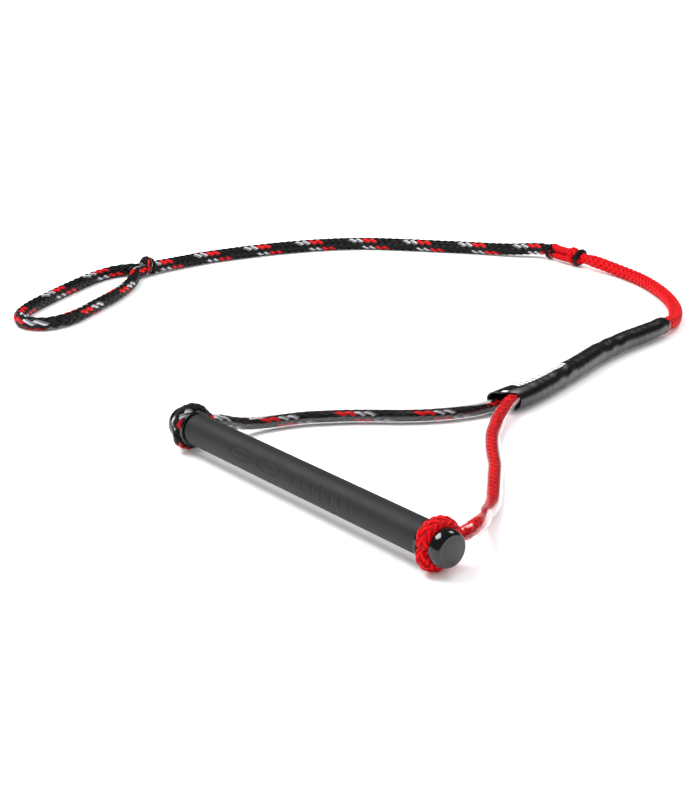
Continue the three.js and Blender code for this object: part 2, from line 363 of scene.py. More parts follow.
def hollow_braid():
    """A geometry tree that lays flat strands over and under each other along a route."""
    tree = bpy.data.node_groups.new("hollow_braid", "GeometryNodeTree")
    tree.interface.new_socket("Braid", in_out="OUTPUT", socket_type="NodeSocketGeometry")
    for socket, kind in (
        ("Route", "Geometry"), ("Radius", "Float"), ("Pitch", "Float"), ("Strands", "Int"),
        ("Turn", "Float"), ("Side", "Vector"), ("Finish", "Material"),
    ):
        tree.interface.new_socket(socket, in_out="INPUT", socket_type="NodeSocket" + kind)
    given = tree.nodes.new("NodeGroupInput").outputs

    def calc(operation, *values):
        return wired(tree, "ShaderNodeMath", enumerate(values), operation=operation).outputs[0]

    def vector(operation, *values):
        node = wired(tree, "ShaderNodeVectorMath", enumerate(values), operation=operation)
        return node.outputs[0]

    def scaled(value, size):
        return wired(
            tree, "ShaderNodeVectorMath", {"Vector": value, "Scale": size}, operation="SCALE",
        ).outputs[0]

    strands = given["Strands"]
    copies = wired(
        tree, "GeometryNodeDuplicateElements",
        {"Geometry": given["Route"], "Amount": calc("MULTIPLY", strands, 2.0)}, domain="SPLINE")
    index = copies.outputs["Duplicate Index"]
    number = calc("MODULO", index, strands)
    other_way = calc("FLOOR", calc("DIVIDE", index, strands))
    along = tree.nodes.new("GeometryNodeSplineParameter").outputs["Length"]
    turns = calc("DIVIDE", along, given["Pitch"])
    sign = calc("SUBTRACT", 1.0, calc("MULTIPLY", other_way, 2.0))
    share = calc("ADD", turns, calc("DIVIDE", number, strands))
    angle = calc("MULTIPLY", calc("ADD", calc("MULTIPLY", share, sign), given["Turn"]), math.tau)
    weave = calc("ADD", calc("MULTIPLY", turns, strands), number)
    weave = calc("SUBTRACT", weave, calc("ADD", calc("MULTIPLY", other_way, 0.5), 0.25))
    lift = calc("COSINE", calc("MULTIPLY", weave, math.pi))
    radius = calc("MULTIPLY", given["Radius"], tree.nodes.new("GeometryNodeInputRadius").outputs[0])
    distance = calc("MULTIPLY", radius, calc("MULTIPLY_ADD", lift, 0.115, 0.765))

    tangent = tree.nodes.new("GeometryNodeInputTangent").outputs[0]
    across = vector("NORMALIZE", vector("CROSS_PRODUCT", given["Side"], tangent))
    above = vector("CROSS_PRODUCT", tangent, across)
    outward = vector(
        "ADD", scaled(across, calc("COSINE", angle)), scaled(above, calc("SINE", angle)))

    kept = tree.nodes.new("GeometryNodeCaptureAttribute")
    kept.capture_items.new("VECTOR", "Outward")
    tree.links.new(copies.outputs["Geometry"], kept.inputs["Geometry"])
    tree.links.new(outward, kept.inputs["Outward"])
    curve = kept.outputs["Geometry"]
    for name, value in (("along", along), ("strand", index)):
        curve = wired(
            tree, "GeometryNodeStoreNamedAttribute",
            {"Geometry": curve, "Name": name, "Value": value},
            data_type="FLOAT", domain="POINT").outputs[0]
    curve = wired(
        tree, "GeometryNodeSetPosition",
        {"Geometry": curve, "Offset": scaled(outward, distance)}).outputs[0]
    curve = wired(
        tree, "GeometryNodeSetCurveNormal",
        {"Curve": curve, "Normal": kept.outputs["Outward"]}, mode="FREE").outputs[0]

    round_section = wired(
        tree, "GeometryNodeCurvePrimitiveCircle", {"Resolution": 8, "Radius": 1.0})
    size = wired(tree, "ShaderNodeCombineXYZ", {
        "X": calc("MULTIPLY", given["Radius"], THICK), "Y": calc("MULTIPLY", given["Radius"], WIDE),
        "Z": 1.0})
    section = wired(tree, "GeometryNodeTransform", {
        "Geometry": round_section.outputs["Curve"], "Scale": size.outputs[0]}).outputs[0]
    section = wired(
        tree, "GeometryNodeStoreNamedAttribute",
        {"Geometry": section, "Name": "across",
         "Value": tree.nodes.new("GeometryNodeSplineParameter").outputs["Factor"]},
        data_type="FLOAT", domain="POINT").outputs[0]
    mesh = wired(tree, "GeometryNodeCurveToMesh", {
        "Curve": curve, "Profile Curve": section, "Fill Caps": True,
        "Scale": tree.nodes.new("GeometryNodeInputRadius").outputs[0]}).outputs[0]
    mesh = wired(tree, "GeometryNodeSetShadeSmooth", {"Geometry": mesh}).outputs[0]
    mesh = wired(tree, "GeometryNodeRealizeInstances", {"Geometry": mesh}).outputs[0]
    mesh = wired(tree, "GeometryNodeSetMaterial", {
        "Geometry": mesh, "Material": given["Finish"]}).outputs[0]
    result = tree.nodes.new("NodeGroupOutput")
    tree.links.new(mesh, result.inputs[0])
    return tree


WIDE = 0.325  # half a strand's width, as a share of the rope's radius
THICK = 0.15  # half its thickness
BRAID = hollow_braid()


def route(points, spacing=STEP):
    """A smooth line through points, evenly spaced, as an array in metres."""
    knots = [np.array(p, float) for p in points]
    knots = [2 * knots[0] - knots[1], *knots, 2 * knots[-1] - knots[-2]]
    line = []
    for a, b, c, d in zip(knots, knots[1:], knots[2:], knots[3:]):
        before, between, after = (
            math.sqrt(np.linalg.norm(q - p)) for p, q in ((a, b), (b, c), (c, d)))
        leave = (b - a) / before - (c - a) / (before + between) + (c - b) / between
        arrive = (c - b) / between - (d - b) / (between + after) + (d - c) / after
        for t in np.linspace(0, 1, 16, endpoint=False):
            line.append(
                (2 * t**3 - 3 * t**2 + 1) * b + (t**3 - 2 * t**2 + t) * between * leave
                + (3 * t**2 - 2 * t**3) * c + (t**3 - t**2) * between * arrive)
    line = np.array([*line, knots[-2]])
    far = np.concatenate([[0], np.cumsum(np.linalg.norm(np.diff(line, axis=0), axis=1))])
    at = np.linspace(0, far[-1], math.ceil(far[-1] / spacing) + 1)
    return np.stack([np.interp(at, far, line[:, k]) for k in range(3)], axis=1)


def frames(line, side=UP):
    """For each point of a line, the directions along, across and above it."""
    tangents = np.gradient(line, axis=0)
    tangents /= np.linalg.norm(tangents, axis=1)[:, None]
    across = np.cross(side, tangents)
    across /= np.linalg.norm(across, axis=1)[:, None]
    return tangents, across, np.cross(tangents, across)


def eased(line, start, end, over):
    """A thickness factor for each point of a line, thinned towards either end over a length."""
    far = np.concatenate([[0], np.cumsum(np.linalg.norm(np.diff(line, axis=0), axis=1))])
    return np.interp(far, [0, over, far[-1] - over, far[-1]], [start, 1, 1, end])


def braid(name, line, radius, finish, turn=0.0, side=UP, thickness=None, pitch=PITCH):
    """A rope of real strands along a line."""
    curve = bpy.data.curves.new(name, "CURVE")
    curve.dimensions = "3D"
    spline = curve.splines.new("POLY")
    spline.points.add(len(line) - 1)
    factors = np.ones(len(line)) if thickness is None else thickness
    for point, place, factor in zip(spline.points, line, factors):
        point.co = (*place, 1)
        point.radius = factor
    laid = bpy.data.objects.new(name + "_route", curve)
    bpy.context.scene.collection.objects.link(laid)
    maker = laid.modifiers.new("braid", "NODES")
    maker.node_group = BRAID
    given = {"Radius": radius, "Pitch": pitch, "Strands": STRANDS, "Turn": turn, "Side": side,
             "Finish": finish}
    for item in BRAID.interface.items_tree:
        if item.name in given:
            maker[item.identifier] = given[item.name]
    scene_now = bpy.context.evaluated_depsgraph_get()
    data = bpy.data.meshes.new_from_object(laid.evaluated_get(scene_now))
    data.name = name
    bpy.data.objects.remove(laid)
    bpy.data.curves.remove(curve)
    rope = bpy.data.objects.new(name, data)
    bpy.context.scene.collection.objects.link(rope)
    return rope


def filaments():
    """A shader group: the fine parallel filaments of a strand, with painted shade at its edges, as
    a shade and a height.
    """
    group = bpy.data.node_groups.new("strand_filaments", "ShaderNodeTree")
    for socket in ("Along", "Across", "Strand"):
        group.interface.new_socket(socket, in_out="INPUT", socket_type="NodeSocketFloat")
    for socket in ("Shade", "Height"):
        group.interface.new_socket(socket, in_out="OUTPUT", socket_type="NodeSocketFloat")
    given = group.nodes.new("NodeGroupInput").outputs
    result = group.nodes.new("NodeGroupOutput")

    def times(value, size):
        return wired(
            group, "ShaderNodeMath", {0: value, 1: size}, operation="MULTIPLY").outputs[0]

    fine = wired(group, "ShaderNodeCombineXYZ", {
        "X": times(given["Along"], 160.0), "Y": times(given["Across"], 34.0),
        "Z": times(given["Strand"], 3.7)}).outputs[0]
    broad = wired(group, "ShaderNodeCombineXYZ", {
        "X": times(given["Along"], 420.0), "Y": times(given["Across"], 3.0),
        "Z": times(given["Strand"], 5.1)}).outputs[0]
    lines = wired(group, "ShaderNodeTexNoise", {"Vector": fine, "Scale": 1.0, "Detail": 2.0})
    patches = wired(group, "ShaderNodeTexNoise", {"Vector": broad, "Scale": 1.0, "Detail": 1.0})
    tone = wired(group, "ShaderNodeMath", {
        0: lines.outputs["Fac"], 1: 0.6, 2: times(patches.outputs["Fac"], 0.4),
    }, operation="MULTIPLY_ADD").outputs[0]
    # Painted shade: each strand darkens towards its edges, where its neighbours would shade it, and
    # is brightest on its crown.
    from_crown = wired(
        group, "ShaderNodeMath", {0: given["Across"], 1: 0.5}, operation="PINGPONG").outputs[0]
    painted_edge_shade = wired(group, "ShaderNodeMapRange", {
        "Value": from_crown, "From Min": 0.25, "From Max": 0.12, "To Min": 0.0, "To Max": 1.45,
    }, interpolation_type="SMOOTHSTEP").outputs[0]
    shade = wired(
        group, "ShaderNodeMath", {0: tone, 1: painted_edge_shade}, operation="MULTIPLY").outputs[0]
    group.links.new(shade, result.inputs["Shade"])
    group.links.new(lines.outputs["Fac"], result.inputs["Height"])
    return group


FILAMENTS = filaments()


def braided(name, colours, roughness, specular):
    """A rope's finish: dark and light colours for each kind of strand, by the strand's number. The
    dark colour is painted shade at the strands' edges and also the tone of the darker filaments.
    """
    material = bpy.data.materials.new(name)
    material.use_nodes = True
    tree = material.node_tree
    shader = tree.nodes["Principled BSDF"]
    shader.inputs["Roughness"].default_value = roughness
    shader.inputs["Specular IOR Level"].default_value = specular
    read = {
        key: wired(tree, "ShaderNodeAttribute", attribute_name=key).outputs["Fac"]
        for key in ("along", "across", "strand")
    }
    threads = wired(tree, "ShaderNodeGroup", node_tree=FILAMENTS)
    for key, value in read.items():
        tree.links.new(value, threads.inputs[key.capitalize()])
    place = wired(
        tree, "ShaderNodeMath", {0: read["strand"], 1: 1 / (2 * STRANDS), 2: 0.25 / STRANDS},
        operation="MULTIPLY_ADD").outputs[0]
    shades = []
    for tone in (0, 1):
        ramp = wired(tree, "ShaderNodeValToRGB", {"Fac": place})
        ramp.color_ramp.interpolation = "CONSTANT"
        stops = ramp.color_ramp.elements
        stops.remove(stops[1])
        stops[0].color = (*colours[0][1 + tone], 1)
        for start, *pair in colours[1:]:
            stops.new(start / (2 * STRANDS)).color = (*pair[tone], 1)
        shades.append(ramp.outputs["Color"])
    # Painted shade: the mix gives the dark colours at the strands' edges and the light ones on
    # their crowns.
    mix = wired(tree, "ShaderNodeMix", data_type="RGBA")
    tree.links.new(threads.outputs["Shade"], mix.inputs["Factor"])
    tree.links.new(shades[0], mix.inputs["A"])
    tree.links.new(shades[1], mix.inputs["B"])
    tree.links.new(mix.outputs["Result"], shader.inputs["Base Color"])
    bump(tree, threads.outputs["Height"], shader, 0.0004)
    return material


# Each pair holds a dark colour, painted shade for the strands' edges and darker filaments, then the
# strand's own colour.
RED = ((0.3, 0.0, 0.002), (0.9, 0.0015, 0.006))
PALE = ((0.06, 0.06, 0.065), (0.66, 0.66, 0.7))
BLACK = ((0.0002, 0.0002, 0.0002), (0.006, 0.0057, 0.006))
red_braid = braided("red_polyethylene_braid", [(0, *RED)], 0.5, 0.1)
patterned_braid = braided(
    "patterned_polyethylene_braid", [(0, *PALE), (2, *RED), (4, *BLACK)], 0.34, 0.2)

LEFT_LEG = [
    (-0.149, 0.021, 0.02), (-0.149, 0.029, 0.0182), (-0.1495, 0.038, 0.0146),
    (-0.15, 0.048, 0.0112), (-0.15, 0.06, 0.0086), (-0.148, 0.074, 0.0071), (-0.144, 0.09, 0.0066),
    (-0.138, 0.107, 0.0066), (-0.1295, 0.122, 0.0066), (-0.12, 0.137, 0.0066),
    (-0.11, 0.15, 0.0066), (-0.099, 0.163, 0.0066), (-0.0885, 0.176, 0.0066),
    (-0.079, 0.19, 0.0066), (-0.071, 0.205, 0.0066), (-0.065, 0.221, 0.0066),
    (-0.0615, 0.237, 0.0066), (-0.061, 0.254, 0.0066), (-0.0625, 0.271, 0.0067),
]
RIGHT_LEG = [
    (0.149, 0.021, 0.0202), (0.1484, 0.0285, 0.0209), (0.145, 0.038, 0.0204),
    (0.1385, 0.0485, 0.0182), (0.1295, 0.06, 0.0148), (0.119, 0.072, 0.0114),
    (0.109, 0.086, 0.0086), (0.099, 0.099, 0.007), (0.088, 0.111, 0.0066), (0.075, 0.124, 0.0066),
    (0.058, 0.141, 0.0066), (0.046, 0.153, 0.0066), (0.033, 0.164, 0.0066), (0.019, 0.176, 0.0066),
    (0.006, 0.188, 0.0066), (-0.007, 0.201, 0.0068), (-0.018, 0.215, 0.0076),
    (-0.027, 0.227, 0.009), (-0.0355, 0.2405, 0.011), (-0.0444, 0.2555, 0.0125),
    (-0.051, 0.27, 0.0136),
]
LEG_RADIUS = 0.0052
LEG_SHIFT = 0.0008  # the rope lies against the inner side of its tube's bend


def bends_at_bar(piece):
    """Bakes the place of a piece that leaves the bar, between its eye and the bridle, into its
    mesh.
    """
    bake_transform(piece)


legs = {}
for side, points, finish, slot, turn, inward in (
    ("left", LEFT_LEG, patterned_braid, "patterned_rope", 0.1, 1),
    ("right", RIGHT_LEG, red_braid, "red_rope", 0.0, -1),
):
    first, last = Vector(points[0]), Vector(points[-1])
    inside_eye = (first.x, 0.013, BAR_Z)
    in_sleeve = last + (last - Vector(points[-2])).normalized() * 0.012
    bore = route([inside_eye, *points, tuple(in_sleeve)])
    _, level, above = frames(bore)
    inner_side = above * 0.3 - level * inward
    sag = eased(bore, 0.0, 0.0, 0.04)[:, None] * LEG_SHIFT
    line = bore + inner_side * sag
    legs[side] = (line, braid(
        f"leg_{side}", line, LEG_RADIUS, finish, turn, thickness=eased(line, 0.8, 0.9, 0.01)), bore)
    bends_at_bar(legs[side][1])
    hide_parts(f"leg_rope_{side}")

# Clear tubing over the legs. Soft vinyl hose keeps each leg open and untangled. It starts at the
# rope eye and ends inside the sleeve, with its cut ends left square.
TUBE_OUTER = 0.0067
TUBE_INNER = 0.0061
TUBE_START = 0.0185  # in front of the bar's axis


def hose(name, line, outer, inner, material, sides=40):
    """A tube with a wall along a line."""
    _, across, above = frames(line)
    turns = [2 * math.pi * i / sides for i in range(sides)]

    def ring(i, radius):
        return [
            tuple(line[i] + radius * (math.cos(a) * across[i] + math.sin(a) * above[i]))
            for a in turns
        ]

    outside = [ring(i, outer) for i in range(len(line))]
    inside = [ring(i, inner) for i in reversed(range(len(line)))]
    return skin(name, outside + inside, material, joined=True)


def vinyl():
    """Thin clear vinyl: a gloss coat over a wall that lets light straight through to the rope."""
    material = bpy.data.materials.new("clear_vinyl")
    material.use_nodes = True
    tree = material.node_tree
    shader = tree.nodes["Principled BSDF"]
    shader.inputs["Base Color"].default_value = (0.985, 0.975, 0.98, 1)
    shader.inputs["Transmission Weight"].default_value = 1.0
    shader.inputs["IOR"].default_value = 1.01
    shader.inputs["Coat Weight"].default_value = 1.0
    shader.inputs["Coat IOR"].default_value = 1.4
    shader.inputs["Coat Roughness"].default_value = 0.05
    place = wired(tree, "ShaderNodeTexCoord").outputs["Object"]
    haze = wired(tree, "ShaderNodeTexNoise", {"Vector": place, "Scale": 120.0, "Detail": 2.0})
    rough = wired(tree, "ShaderNodeMapRange", {
        "Value": haze.outputs["Fac"], "To Min": 0.02, "To Max": 0.09})
    tree.links.new(rough.outputs["Result"], shader.inputs["Roughness"])
    bump(tree, haze.outputs["Fac"], shader, 0.00015)
    clear = wired(tree, "ShaderNodeBsdfTransparent")
    ray = wired(tree, "ShaderNodeLightPath")
    mixed = wired(tree, "ShaderNodeMixShader", {0: ray.outputs["Is Shadow Ray"]})
    tree.links.new(shader.outputs[0], mixed.inputs[1])
    tree.links.new(clear.outputs[0], mixed.inputs[2])
    tree.links.new(mixed.outputs[0], tree.nodes["Material Output"].inputs["Surface"])
    return material


clear_vinyl = vinyl()
tubes = {}
for side, (_, _, bore) in legs.items():
    sheath = bore[bore[:, 1] > TUBE_START]
    tubes[side] = hose(f"tube_{side}", sheath, TUBE_OUTER, TUBE_INNER, clear_vinyl)
    bends_at_bar(tubes[side])
    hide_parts(f"leg_tube_{side}")

# Rope eyes. Each leg's end is spliced into an eye that sits in the groove between flange and cap.
# It shows as two fat lobes, over and under the bar, that pinch together where the rope dives into
# the plug's cross hole on the rider's side.
EYE_TURN = 0.0137  # from the bar's axis to the middle of the rope
PINCH_TURN = 0.0088  # the same where the rope dives into the hole
PINCH_DEGREES = 44  # how far round the bar the pinch reaches
EYE_PITCH = 0.042


def lobe(sign, x):
    """Half of an eye, from inside the cross hole over or under the bar to the leg."""
    points, factors = [(x, -0.004, BAR_Z + sign * 0.0006)], [0.6]
    for degrees in range(4, 161, 6):
        swell = min(1.0, degrees / PINCH_DEGREES)
        reach = PINCH_TURN + (EYE_TURN - PINCH_TURN) * math.sin(swell * math.pi / 2)
        turn = math.radians(degrees)
        points.append((x, -reach * math.cos(turn), BAR_Z + sign * reach * math.sin(turn)))
        factors.append(0.66 + 0.34 * math.sin(swell * math.pi / 2))
    points += [(x, 0.0165, BAR_Z + sign * 0.0025), (x, 0.0205, BAR_Z + sign * 0.0012)]
    factors += [0.8, 0.66]
    line = route(points, 0.0015)
    spread = np.interp(np.linspace(0, 1, len(line)), np.linspace(0, 1, len(factors)), factors)
    return line, spread


for side, sign, radius, finish, slot, turn in (
    ("right", 1, 0.0064, red_braid, "red_rope", 0.0),
    ("left", -1, 0.0058, patterned_braid, "patterned_rope", 0.65),
):
    halves = []
    for name, way in (("upper", 1), ("lower", -1)):
        line, spread = lobe(way, sign * EYE_X)
        halves.append(braid(
            f"eye_{side}_{name}", line, radius, finish, turn, side=(1, 0, 0), thickness=spread,
            pitch=EYE_PITCH))
        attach(halves[-1], "handle")
    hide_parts(f"rope_eye_{side}")

# Junction sleeve. A satin black neoprene sleeve is pulled over the place where the legs are spliced
# into one lead. Its mouth is cut on a slant, so a flap covers the left leg, and it narrows to a
# rolled end. A row of plain pale bars is printed along its top.
SLEEVE = [
    (-0.056, 0.274, 0.011), (-0.0585, 0.294, 0.011), (-0.063, 0.314, 0.011),
    (-0.0725, 0.348, 0.011), (-0.0855, 0.387, 0.011), (-0.099, 0.429, 0.011),
    (-0.108, 0.467, 0.011), (-0.1135, 0.503, 0.011), (-0.1175, 0.525, 0.011),
    (-0.1215, 0.546, 0.011),
]
SLEEVE_SIDES = 64
SLEEVE_STEPS = 150
WALL = 0.0013
ROLLED_END = 0.006
MOUTH = 0.023  # where the mouth is cut, along the sleeve's line
FLAP = 0.013  # how much further the mouth reaches on the left leg's side
FLAP_TURN = math.radians(40)  # the flap's middle, from the sleeve's left side over its top
sleeve_line = route([(-0.0545, 0.244, 0.0095), (-0.055, 0.258, 0.0103), *SLEEVE], 0.002)
sleeve_far = np.concatenate(
    [[0], np.cumsum(np.linalg.norm(np.diff(sleeve_line, axis=0), axis=1))])
sleeve_long = sleeve_far[-1]
_, sleeve_across, sleeve_above = frames(sleeve_line)


def along_sleeve(values, at):
    """A value at a distance along the sleeve's line."""
    return np.array([np.interp(at, sleeve_far, values[:, k]) for k in range(3)])


def sleeve_point(share, turn, inset):
    """A point of the sleeve, by its share of the way from the mouth and its turn about the line.

    The sleeve is flattened over the two legs at its mouth, lumpy over the splice, and rolled in
    at its far end.
    """
    reach = min(1.0, max(0.0, (math.cos(turn - FLAP_TURN) + 0.15) / 0.8))
    reach *= reach * (3 - 2 * reach)
    mouth = MOUTH - FLAP * reach
    at = mouth + share * (sleeve_long - mouth)
    open_end = math.exp(-((at / 0.055) ** 2))
    wide = 0.0107 - 0.0019 * at / sleeve_long + 0.0042 * open_end
    tall = 0.0104 - 0.0016 * at / sleeve_long - 0.0002 * open_end
    lump = 0.00028 * math.sin(at * 150 + 2.2 * math.sin(at * 61) + 1.3 * turn)
    lump += 0.0001 * math.sin(at * 410 + 3 * math.sin(at * 97) - 2 * turn)
    closing = max(0.0, at - sleeve_long + ROLLED_END) / ROLLED_END
    rolled = 1 - 0.13 * (1 - math.sqrt(max(0.0, 1 - closing**2)))
    middle = along_sleeve(sleeve_line, at)
    outward = (
        (wide * rolled + lump - inset) * math.cos(turn) * along_sleeve(sleeve_across, at)
        + (tall * rolled + lump - inset) * math.sin(turn) * along_sleeve(sleeve_above, at))
    place = middle + outward
    return (place[0], place[1], max(place[2], 0.0002 + inset))


def sleeve_rings(inset, shares):
    """Rings of the sleeve's outside, or of its inside when inset by the wall."""
    turns = [2 * math.pi * i / SLEEVE_SIDES for i in range(SLEEVE_SIDES)]
    return [[sleeve_point(share, turn, inset) for turn in turns] for share in shares]


neoprene = grained(
    "satin_black_neoprene", (0.002, 0.002, 0.002), (0.006, 0.006, 0.006), 1500, (0.22, 0.34),
    0.00005)
shares = [i / SLEEVE_STEPS for i in range(SLEEVE_STEPS + 1)]
rings = sleeve_rings(0.0, shares) + sleeve_rings(WALL, shares[::-1])
sleeve = skin("junction_sleeve_shell", rings, neoprene, joined=True)
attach(sleeve, "bridle")
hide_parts("junction_sleeve")

BARS_TURN = math.radians(86)  # the middle of the row, from the sleeve's left side
BARS_HALF = 0.26  # half a bar's width, in radians about the sleeve
BARS_START, BARS_END, BARS_GAP = 0.07, 0.34, 0.0055  # shares of the sleeve's length
INK_RISE, INK_DEPTH = 0.00022, 0.00015
bar_ink = grained(
    "pale_printed_ink", (0.62, 0.62, 0.64), (0.8, 0.8, 0.8), 1200, (0.45, 0.6), 0.00003)


def printed(start, end, low, high):
    """A thin printed patch on the sleeve, between two shares of its length and two turns."""
    turns = [low + (high - low) * j / 8 for j in range(9)]
    rows = [start + (end - start) * i / 4 for i in range(5)]
    rings = [
        [sleeve_point(row, turn, -INK_RISE) for turn in turns]
        + [sleeve_point(row, turn, INK_DEPTH) for turn in reversed(turns)] for row in rows
    ]
    return skin("printed_bar", rings, bar_ink, capped=True)


bars = []
share = BARS_START
while share < BARS_END:
    long = 0.008 + 0.006 * abs(math.sin(share * 97))
    bars.append(printed(share, share + long, BARS_TURN - BARS_HALF, BARS_TURN + BARS_HALF))
    share += long + BARS_GAP
bars.append(printed(0.005, 0.017, BARS_TURN + 0.12, BARS_TURN + 0.36))
with bpy.context.temp_override(active_object=bars[0], selected_editable_objects=bars):
    bpy.ops.object.join()
print_row = bars[0]
print_row.name = "printed_bars"
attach(print_row, "bridle")

splice_line = route(SLEEVE[1:-1])
splice = braid("spliced_legs", splice_line, 0.0072, red_braid)
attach(splice, "bridle")
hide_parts("leg_splice")

# Red lead. The doubled red rope comes out of the sleeve, turns towards the far end on the ground,
# and rises a little into the link.
RED_LEAD = [
    (-0.1218, 0.5472, 0.0109), (-0.127, 0.563, 0.0094), (-0.135, 0.578, 0.0078),
    (-0.147, 0.594, 0.0072), (-0.16, 0.609, 0.0071), (-0.174, 0.622, 0.0071),
    (-0.189, 0.634, 0.0071), (-0.206, 0.6455, 0.0071), (-0.225, 0.6565, 0.0071),
    (-0.246, 0.667, 0.0071), (-0.267, 0.6755, 0.0071), (-0.288, 0.681, 0.0072),
    (-0.305, 0.684, 0.0077), (-0.32, 0.685, 0.0088), (-0.334, 0.6847, 0.0102),
    (-0.35, 0.685, 0.011),
]
LEAD_RADIUS = 0.007
LINK = Vector(frame["joints"][1]["pos_m"])
red_line = route([SLEEVE[-2], *RED_LEAD, tuple(LINK + Vector((0.02, 0, 0)))])
red_lead = braid(
    "lead_red", red_line, LEAD_RADIUS, red_braid, 0.05, thickness=eased(red_line, 0.9, 0.72, 0.02))
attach(red_lead, "bridle")
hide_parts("red_lead")

# Link. Each lead ends in a small eye, and the two eyes are looped through each other and drawn
# tight. The red eye's two strands lie side by side and go round the patterned neck, and the
# patterned eye's end goes round the red neck as a black ring.
BIGHT_RADIUS = 0.0042
BIGHT_PITCH = 0.042
LINK_STEP = 0.0012  # spacing of the points along its ropes


def at_link(points):
    """Points given in millimetres from the link's middle, in metres."""
    return [tuple(LINK + Vector(p) / 1000) for p in points]


def wrap(centre, ring_radius, lean, heading=(1, 0, 0), steps=20):
    """A ring of rope about a rope that runs along a heading, leaning back by a share of height."""
    ahead = Vector(heading).normalized()
    level = Vector(UP).cross(ahead).normalized()
    points = []
    for i in range(steps + 1):
        a = -math.pi / 2 + 2 * math.pi * i / steps
        rise = ring_radius * math.sin(a)
        out = ring_radius * math.cos(a)
        points.append(tuple(
            Vector(centre) + level * out + Vector(UP) * rise + ahead * (lean * rise)))
    return route(points, LINK_STEP), tuple(ahead)


def bends_at_link(piece):
    """Bakes the place of a rope of the link, between the bridle and the tow line, into its mesh,
    and gives it back.
    """
    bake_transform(piece)
    return piece


red_bight = route(at_link([
    (26, 0, 1.5), (18, -1, 2.6), (8, -2.5, 4), (-2, -3, 4.6), (-12, -2.5, 4.6), (-20, -1, 4.6),
    (-27, 3, 4), (-30, 6, 0.3), (-27, 3, -3.4), (-20, -1.5, -4), (-12, -3.5, -3.7),
    (-2, -4, -3.7), (8, -3, -3.6), (18, -1, -2.6), (26, 0, -1.5),
]), LINK_STEP)
link_red = braid(
    "link_bight_red", red_bight, BIGHT_RADIUS, red_braid, 0.1, pitch=BIGHT_PITCH)
bends_at_link(link_red)
lead_ends = {"red_rope": [link_red]}
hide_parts("link_eye_red")
patterned_bight = route(at_link([
    (12, 4.5, 1), (4, 4.6, 1.5), (-6, 4.4, 1.6), (-16, 3.6, 1.5), (-26, 1.5, 1), (-36, 0, 0),
]), LINK_STEP)
link_patterned = braid(
    "link_bight_patterned", patterned_bight, BIGHT_RADIUS, patterned_braid, 0.5, pitch=BIGHT_PITCH)
bends_at_link(link_patterned)
lead_ends["patterned_rope"] = [link_patterned]
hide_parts("link_eye_patterned")

for name, along, ring_radius, rope, lean, turn, finish, slot in (
    ("link_flange_red", 8.0, 6.6, 3.8, -0.42, 0.0, red_braid, "red_rope"),
    ("link_ring_patterned", 16.5, 7.0, 3.5, 0.3, 0.95, patterned_braid, "patterned_rope"),
    ("link_band_patterned", -29.5, 6.2, 3.1, 0.12, 0.2, patterned_braid, "patterned_rope"),
):
    centre = LINK + Vector((along / 1000, 0, (ring_radius + rope) / 1000 + 0.0004 - LINK.z))
    line, ahead = wrap(centre, ring_radius / 1000, lean)
    ring = braid(name, line, rope / 1000, finish, turn, side=ahead, pitch=0.04)
    lead_ends[slot].append(bends_at_link(ring))

# Tow lead. The doubled patterned rope runs from the link in one wide curve along the ground to the
# neck of the loop.
TOW_LEAD = [
    (-0.4112, 0.685, 0.011), (-0.422, 0.684, 0.0107), (-0.433, 0.6785, 0.0101),
    (-0.443, 0.6695, 0.0093), (-0.455, 0.659, 0.0084), (-0.47, 0.648, 0.0077),
    (-0.488, 0.636, 0.0072), (-0.506, 0.622, 0.0071), (-0.525, 0.606, 0.0071),
    (-0.544, 0.59, 0.0071), (-0.563, 0.574, 0.0071), (-0.581, 0.557, 0.0071),
    (-0.597, 0.539, 0.0071), (-0.61, 0.519, 0.0071), (-0.621, 0.497, 0.0071),
    (-0.63, 0.474, 0.0071), (-0.638, 0.45, 0.0071), (-0.644, 0.425, 0.0071),
    (-0.649, 0.399, 0.0071), (-0.653, 0.373, 0.0071), (-0.655, 0.347, 0.0072),
    (-0.654, 0.32, 0.0074), (-0.652, 0.3, 0.0079), (-0.651, 0.281, 0.0082),
]
tow_line = route([tuple(LINK - Vector((0.02, 0, 0))), *TOW_LEAD, (-0.6508, 0.268, 0.0084)])
tow_lead = braid(
    "lead_patterned", tow_line, LEAD_RADIUS, patterned_braid, 0.35,
    thickness=eased(tow_line, 0.72, 0.85, 0.02))
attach(tow_lead, "tow_line")
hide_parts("tow_lead")

# Neck of the tow loop. The rope's end is passed through the lead and drawn tight, which leaves a
# fat turn of rope about the neck and a thinner one beside it.
neck_low, neck_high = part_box("loop_neck")
NECK = (neck_low + neck_high) / 2
for name, shift, ring_radius, rope, lean, turn in (
    ("neck_turn_fat", -0.0035, 6.8, 4.1, 0.25, 0.55),
    ("neck_turn_thin", 0.0035, 6.9, 3.0, -0.1, 0.05),
):
    centre = Vector((NECK.x, NECK.y + shift, (ring_radius + rope) / 1000 + 0.0003))
    line, ahead = wrap(centre, ring_radius / 1000, lean, heading=(0, 1, 0))
    part = braid(name, line, rope / 1000, patterned_braid, turn, side=ahead, pitch=0.045)
    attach(part, "tow_line")
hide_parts("loop_neck")

